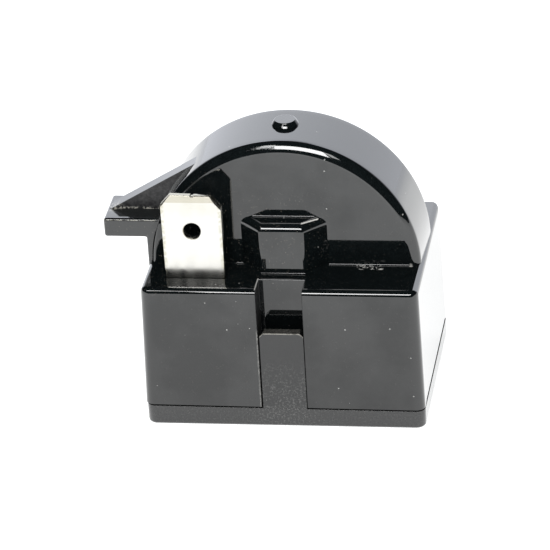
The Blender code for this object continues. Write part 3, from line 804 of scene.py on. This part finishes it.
def cavity():
    """The room inside, with the walls round the channels and the ribs that hold the pill."""
    rings = []
    for z in (FOOT_Z - 1, CEILING_Z):
        w, d = half_w(z) - WALL, half_d(z) - WALL
        rings.append([(x, y, z) for x, y in rectangle(-w, w, -d, d)])
    obj = loft("cavity", rings)
    outline = dome_outline(POCKET_R, CEILING_Z - 1, 90)
    join(obj, prism_y("pocket", outline, DOME_Y - POCKET_HALF_D, DOME_Y + POCKET_HALF_D))
    hollow = []
    for y in (DOME_FRONT - LUG_OUT + WALL, DOME_FRONT + WALL + 1):
        hollow.append((lug_half(y, WALL), y))
    hollow += [(-x, y) for x, y in reversed(hollow)]
    join(obj, prism_z("lug_hollow", hollow, CEILING_Z - 1, LUG_TOP - WALL))
    for side in (-1, 1):
        half = CHANNEL_HALF + WALL
        outline = rectangle(-half, half, side * (CHANNEL_BACK - WALL), side * half_d(0))
        carve(obj, prism_z(f"channel_wall_{side}", outline, FOOT_Z - 2, LEDGE_Z))
    for degrees in (40, 90, 140):
        ux, uz = math.cos(math.radians(degrees)), math.sin(math.radians(degrees))
        inner, outer, half = PILL_R + GAP, DOME_R - WALL / 2, RIB_HALF_T
        outline = []
        for radius, edge in ((inner, -half), (outer, -half), (outer, half), (inner, half)):
            outline.append((radius * ux - edge * uz, DOME_Z + radius * uz + edge * ux))
        reach = POCKET_HALF_D + WALL / 2
        carve(obj, prism_y(f"pill_rib_{degrees}", outline, DOME_Y - reach, DOME_Y + reach))
    return obj


def wide_joint():
    """The joint to the base cover gapes along the right side."""
    z, gape, run, ramp = box_foot(LEDGE_HALF_W), 0.3, 9.9, 1
    level = run - ramp
    outline = [(-run, z - 1), (-run, z), (-level, z + gape), (level, z + gape), (run, z), (run, z - 1)]
    return prism_x("wide_joint", outline, half_w(FOOT_Z) - gape, half_w(FOOT_Z) + 1)


def housing_shell():
    obj = box_body()
    join(obj, dome(), lug(), nub(), arm(), web())
    join(
        obj,
        face_fillet("foot_fillet", LEDGE_Z, DOME_R - DOME_TAPER - 1.2),
        lug_foot_fillet(),
        face_fillet("lug_top_fillet", LUG_TOP, 3.2),
    )
    carve(obj, cavity(), channel(-1), channel(1), channel_top(-1), channel_top(1), tab_slot(), wide_joint())
    join(obj, catch(-1), catch(1))
    applied(obj)
    return finish_piece(obj, GLOSS, ["housing"])


# ---- base cover ----
def cover_plate():
    """The plate under the box, whose top follows the seam."""
    w, d = half_w(FOOT_Z), half_d(FOOT_Z)
    outline = []
    for turn, sx, sy in ((0, 1, 1), (90, -1, 1), (180, -1, -1), (270, 1, -1)):
        center = sx * (w - BASE_CORNER_R), sy * (d - BASE_CORNER_R)
        outline += arc(center, BASE_CORNER_R, turn, turn + 90, 8)
    foot = [(x, y, 0) for x, y in outline]
    top = [(x, y, BASE_T + seam_rise(x)) for x, y in outline]
    obj = loft("base_shell", [foot, top])

    def weight_of(ends, normals):
        low, high = sorted(point.z for point in ends)
        if high - low > 1:
            return 0.0
        return 1.0 if high < 1 else 0.08

    bevel_by(obj, 0.32, 5, weight_of)
    inside = rectangle(-w + WALL, w - WALL, -d + WALL, d - WALL)
    carve(obj, prism_z("base_inside", inside, BASE_T, 4))
    return obj


def cover_lip():
    """The rim that centres the cover in the housing."""
    w, d = half_w(FOOT_Z) - WALL - GAP, half_d(FOOT_Z) - WALL - GAP
    across = CHANNEL_HALF + WALL + GAP
    beside = TAB_ROOT_HALF + GAP
    cuts = {
        "lip_inside": rectangle(-w + LIP_T, w - LIP_T, -d + LIP_T, d - LIP_T),
        "lip_channels": rectangle(-across, across, -d - 1, d + 1),
        "lip_tab": rectangle(TAB_X - beside, TAB_X + beside, -d - 1, 0),
    }
    lip = prism_z("lip", rectangle(-w, w, -d, d), 1, BASE_T + LIP_H)
    for name, outline in cuts.items():
        carve(lip, prism_z(name, outline, 0, 4))
    return lip


def tongue(side):
    """The upright that stands in a channel, leaning with the wall."""
    outline = [
        (-TONGUE_HALF, 1),
        (TONGUE_HALF, 1),
        (TONGUE_HALF, TONGUE_TOP - TONGUE_CUT),
        (TONGUE_HALF - TONGUE_CUT, TONGUE_TOP),
        (-TONGUE_HALF + TONGUE_CUT, TONGUE_TOP),
        (-TONGUE_HALF, TONGUE_TOP - TONGUE_CUT),
    ]
    rings = []
    for depth in (0, TONGUE_T):
        rings.append([(x + TONGUE_ASIDE, side * (half_d(max(z, FOOT_Z)) - depth), z) for x, z in outline])
    obj = loft(f"tongue_{side}", rings)
    bevel_sharp(obj, 0.07, 2)
    return obj


def barb(side):
    """The hook on a tongue's back that holds over the housing's catch."""
    foot = CATCH_Z + CATCH_H + GAP
    back = half_d(foot) - TONGUE_T
    tip, root = CHANNEL_BACK + 0.5, back + TONGUE_T / 2
    top = foot + BARB_H
    outline = [(root, foot), (tip, foot), (tip, foot + BARB_TIP_H), (back, top), (root, top)]
    half = TONGUE_HALF - TONGUE_CUT
    return prism_x(f"barb_{side}", [(side * y, z) for y, z in outline], -half, half)


def cradle(side):
    """The post under one side of the pill."""
    near, width, half_depth = 3.3, 1.8, 1.6
    radius = PILL_R + GAP
    outline = []
    for i in range(5):
        x = near + width * i / 4
        outline.append((side * x, DOME_Z - math.sqrt(radius * radius - x * x)))
    outline += [(outline[-1][0], 1), (outline[0][0], 1)]
    return prism_y(f"cradle_{side}", outline, DOME_Y - half_depth, DOME_Y + half_depth)


def pin_hole(side):
    """A hole for a pin of the compressor, with its funnel."""
    profile = [(3.5, -1), (2.5, 0), (PIN_HOLE_R, 0.7), (PIN_HOLE_R, 4)]
    center = side * PIN_X, PIN_Y
    return loft(f"pin_hole_{side}", [[(x, y, z) for x, y in circle(center, r, 56)] for r, z in profile])


def base_shell():
    obj = cover_plate()
    join(obj, cover_lip())
    for side in (-1, 1):
        join(obj, tongue(side), barb(side), cradle(side))
    carve(obj, pin_hole(-1), pin_hole(1))
    applied(obj)
    return finish_piece(obj, MATTE, ["base_cover"])


# ---- supply terminal ----
def edge_wedge(name, ends, inward, width, depth, face, outward):
    """A cutter that bevels one edge of the blade: width along the face, depth into its thickness."""
    (ax, az), (bx, bz) = ends
    length = math.hypot(bx - ax, bz - az)
    ux, uz = (bx - ax) / length, (bz - az) / length
    rings = []
    for px, pz in ((ax - 0.5 * ux, az - 0.5 * uz), (bx + 0.5 * ux, bz + 0.5 * uz)):
        ring = []
        for n, d in ((2 * width, -depth), (-width, 2 * depth), (-width, -depth)):
            ring.append((px + n * inward[0], face - outward * d, pz + n * inward[1]))
        rings.append(ring)
    return loft(name, rings)


def supply_blade():
    """The upright tab, its tip a little skewed, with the bevels, the nick and the hole."""
    left_tip = TAB_X - TAB_TIP_HALF, TAB_TOP_Z + 0.06
    right_tip = TAB_X + TAB_TIP_HALF + 0.02, TAB_TOP_Z - 0.07
    left_arm = TAB_X - TAB_HALF, TAB_TOP_Z - 1.05
    right_arm = TAB_X + TAB_HALF, TAB_TOP_Z - 1.25
    outline = [
        (TAB_X - TAB_ROOT_HALF, LEDGE_Z - 1.2),
        (TAB_X + TAB_ROOT_HALF, LEDGE_Z - 1.2),
        (TAB_X + TAB_ROOT_HALF, LEDGE_Z),
        right_arm,
        right_tip,
        left_tip,
        left_arm,
        (TAB_X - TAB_ROOT_HALF, LEDGE_Z),
    ]
    obj = prism_y("supply_blade", outline, TAB_FRONT, TAB_FRONT + TAB_T)
    edges = (
        ("tip", (left_tip, right_tip), (0.03, -1), 0.72, 0.1),
        ("left_arm", (left_arm, left_tip), (0.77, -0.64), 0.2, 0.1),
        ("right_arm", (right_tip, right_arm), (-0.75, -0.66), 0.26, 0.16),
    )
    for name, outward, face in (("front", -1, TAB_FRONT), ("back", 1, TAB_FRONT + TAB_T)):
        for edge, ends, inward, width, depth in edges:
            carve(obj, edge_wedge(f"{edge}_{name}", ends, inward, width, depth, face, outward))
    nick = [(0.02, TAB_TOP_Z - 0.13), (0.3, TAB_TOP_Z - 0.12), (0.34, 27), (-0.04, 27)]
    carve(obj, prism_y("nick", [(TAB_X + x, z) for x, z in nick], TAB_FRONT - 1, TAB_FRONT + 2))
    hole = circle((TAB_X, TAB_HOLE_Z), TAB_HOLE_R)
    carve(obj, prism_y("tab_hole", hole, TAB_FRONT - 1, TAB_FRONT + TAB_T + 1))
    bevel_sharp(obj, 0.05, 3, 24)
    return applied(obj)


def supply_tail():
    """The blade's lower part, bent inside the housing."""
    center_z = STRIP_Z + TAB_T + STRIP_BEND_R
    places = [((BEND_Y + 1, STRIP_Z), (BEND_Y + 1, STRIP_Z + TAB_T), STRIP_HALF)]
    for i in range(13):
        turn = math.radians(90 * i / 12)
        pair = []
        for r in (STRIP_BEND_R + TAB_T, STRIP_BEND_R):
            pair.append((BEND_Y - r * math.sin(turn), center_z - r * math.cos(turn)))
        places.append((*pair, STRIP_HALF))
    upright = ((CEILING_Z - 1, STRIP_HALF), (CEILING_Z - 0.5, TAB_ROOT_HALF), (LEDGE_Z - 0.6, TAB_ROOT_HALF))
    for z, half in upright:
        places.append(((TAB_FRONT, z), (TAB_FRONT + TAB_T, z), half))
    rings = []
    for outer, inner, half in places:
        left, right = TAB_X - half, TAB_X + half
        rings.append([(left, *outer), (right, *outer), (right, *inner), (left, *inner)])
    return loft("supply_tail", rings)


def supply_strip():
    """The flat strip, with its wing for the rivet and its pad for the run pin."""
    left, right, wing = TAB_X - STRIP_HALF, TAB_X + STRIP_HALF, 2.1
    outline = [
        (left, BEND_Y),
        (right, BEND_Y),
        (right, RIVET_Y - RIVET_PAD),
        (wing, RIVET_Y - RIVET_PAD),
        (wing, RIVET_Y + RIVET_PAD),
        (right, RIVET_Y + RIVET_PAD),
        (right, PIN_Y - PIN_PAD),
        (-PIN_X + PIN_PAD, PIN_Y - PIN_PAD),
        (-PIN_X + PIN_PAD, PIN_Y + PIN_PAD),
        (-PIN_X - PIN_PAD, PIN_Y + PIN_PAD),
        (left, PIN_Y),
    ]
    return prism_z("supply_strip", outline, STRIP_Z, STRIP_Z + TAB_T)


def supply_piece():
    obj = supply_tail()
    join(obj, supply_blade(), supply_strip())
    carve(obj, prism_z("pad_hole", circle((-PIN_X, PIN_Y), PIN_HOLE_R), 1, 4))
    carve(obj, prism_z("rivet_hole", circle((0, RIVET_Y), RIVET_HOLE_R), 1, 4))
    applied(obj)
    return finish_piece(obj, TIN, ["supply_terminal"], sharp=40)


housing_shell()
base_shell()
supply_piece()

CAD_LOOKS = {
    "start_terminal": BRASS,
    "run_pin_socket": BRASS,
    "start_pin_socket": BRASS,
    "front_spring_rivet": BRASS,
    "rear_spring_rivet": BRASS,
    "front_contact_spring": STEEL,
    "rear_contact_spring": STEEL,
    "ptc_pill": CERAMIC,
}
for name, look in CAD_LOOKS.items():
    for slot in NODES[name].material_slots:
        slot.material = look


# ---- stage, lights, camera ----
def plain_floor():
    bm = bmesh.new()
    size = 1500
    bm.faces.new([bm.verts.new((x, y, 0)) for x, y in rectangle(-size, size, -size, size)])
    obj = add_object("floor", bm)
    n = Nodes("floor")
    n.tree.nodes.remove(n.shader)
    path = n.add("ShaderNodeLightPath").outputs
    _, y, _ = n.axes()
    # Reflections of the strip just behind the object are a little dimmer.
    dip = n.all_of(n.ramp(y, 0.0, 0.03), n.below(y, 0.05, 0.13))
    glossy = n.math("MULTIPLY", path["Is Glossy Ray"], n.ramp(dip, 0.0, 1.0, 1.0, 0.65))
    seen = n.any_of(path["Is Camera Ray"], glossy, path["Is Transmission Ray"])
    diffuse = n.add("ShaderNodeBsdfDiffuse", {"Color": (0.86, 0.86, 0.86, 1)})
    far = n.mix(n.ramp(y, 0.02, 0.5), (0.985, 1.0, 1.0, 1), (0.84, 0.88, 0.97, 1))
    glow = n.add("ShaderNodeEmission", {"Color": far, "Strength": n.math("MULTIPLY", seen, 0.7)})
    both = n.add("ShaderNodeAddShader", {0: diffuse.outputs[0], 1: glow.outputs[0]})
    n.feed(n.tree.nodes["Material Output"].inputs["Surface"], both.outputs[0])
    obj.data.materials.append(n.material)


def world():
    """Reflections see a pale sweep low behind the object and a dark room elsewhere."""
    made = bpy.data.worlds.new("studio")
    bpy.context.scene.world = made
    made.use_nodes = True
    made.node_tree.nodes.clear()
    n = Tree(made.node_tree)
    path = n.add("ShaderNodeLightPath").outputs
    place = n.add("ShaderNodeTexCoord").outputs["Generated"]
    split = n.add("ShaderNodeSeparateXYZ", {"Vector": place}).outputs
    low = n.ramp(split["Z"], 0.5, 0.56, 1.0, 0.0, interpolation_type="SMOOTHSTEP")
    behind = n.ramp(split["Y"], 0.45, 0.7, interpolation_type="SMOOTHSTEP")
    fall = n.ramp(split["X"], -0.25, 0.2, 0.88, 0.82)
    glossy = n.blend(path["Is Glossy Ray"], 0.6, n.combine("MULTIPLY", (low, behind, fall)))
    strength = n.blend(path["Is Camera Ray"], glossy, 1.0)
    tint = n.mix(path["Is Glossy Ray"], (1, 1, 1, 1), (0.965, 0.985, 1.06, 1))
    background = n.add("ShaderNodeBackground", {"Color": tint, "Strength": strength})
    n.add("ShaderNodeOutputWorld", {"Surface": background.outputs[0]})


def area_light(name, place, target, size, power, spread=180, color=(1, 1, 1)):
    lamp = bpy.data.lights.new(name, "AREA")
    lamp.color = color
    lamp.shape = "RECTANGLE"
    lamp.size, lamp.size_y = size[0] * MM, size[1] * MM
    lamp.energy = power
    lamp.spread = math.radians(spread)
    obj = bpy.data.objects.new(name, lamp)
    bpy.context.scene.collection.objects.link(obj)
    obj.location = Vector(place) * MM
    toward = (Vector(target) - Vector(place)).normalized()
    obj.rotation_mode = "QUATERNION"
    obj.rotation_quaternion = toward.to_track_quat("-Z", "Y")


def camera():
    """The photograph's camera. The focal length is in pixels of its 550-pixel frame."""
    azimuth, elevation, roll = (math.radians(angle) for angle in (9.783, 26.919, -3.654))
    distance, focal, frame_width, sensor = 413.131, 4057.167, 550, 36
    target = Vector((-0.223, -10.605, 17.447))
    shift = 0.04, 0.05
    level = math.cos(elevation)
    back = Vector((math.sin(azimuth) * level, -math.cos(azimuth) * level, math.sin(elevation)))
    right = (-back).cross(Vector((0, 0, 1))).normalized()
    up = right.cross(-back)
    across = right * math.cos(roll) + up * math.sin(roll)
    upward = up * math.cos(roll) - right * math.sin(roll)
    data = bpy.data.cameras.new("camera")
    data.sensor_width = sensor
    data.lens = focal / frame_width * sensor
    data.clip_start, data.clip_end = 0.01, 20
    obj = bpy.data.objects.new("camera", data)
    bpy.context.scene.collection.objects.link(obj)
    pose = Matrix((across, upward, back)).transposed().to_4x4()
    pose.translation = (target + back * distance + across * shift[0] + upward * shift[1]) * MM
    obj.matrix_world = pose
    bpy.context.scene.camera = obj


plain_floor()
world()
area_light("front_box", (18, -330, 325), (0, -4, 16), (213, 120), 1.25)
area_light("front_fill", (-122, -290, 360), (0, -4, 16), (60, 110), 0.18)
area_light("front_end", (148, -300, 330), (0, -4, 16), (44, 90), 0.06)
area_light("back_box", (0, 1600, 436), (0, 0, 20), (2400, 1000), 2.2, 90, (0.9, 0.94, 1.0))
camera()
bpy.context.scene.view_settings.view_transform = "Standard"

bpy.context.view_layer.update()
